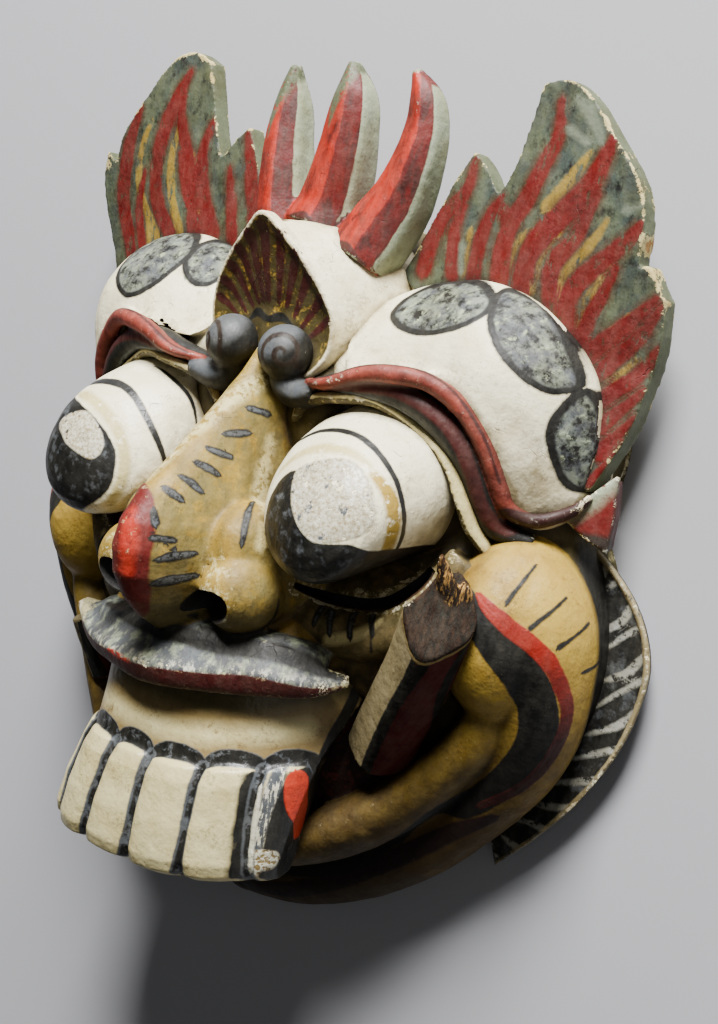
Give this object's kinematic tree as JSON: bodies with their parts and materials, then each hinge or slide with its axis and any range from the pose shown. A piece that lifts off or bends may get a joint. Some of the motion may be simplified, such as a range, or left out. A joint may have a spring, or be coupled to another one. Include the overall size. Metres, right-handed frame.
{
  "type": "barong mask",
  "caption": "Carved and painted wooden barong mask with bulging eyes, tusks, horns and a flame crown, hollow behind with a flat rim.",
  "frame": {"origin": "middle of the box's bottom, in the plane of the rim on which the mask lies", "axes": "+Z out of the face, +Y towards the crown, +X towards the mask's own left"},
  "size_m": [0.2492, 0.2844, 0.1089],
  "materials": {
    "painted_wood": "old hand-painted ground, worn and flaking, dull satin"
  },
  "bodies": {
    "root": {"mask": "painted_wood"}
  },
  "joints": []
}
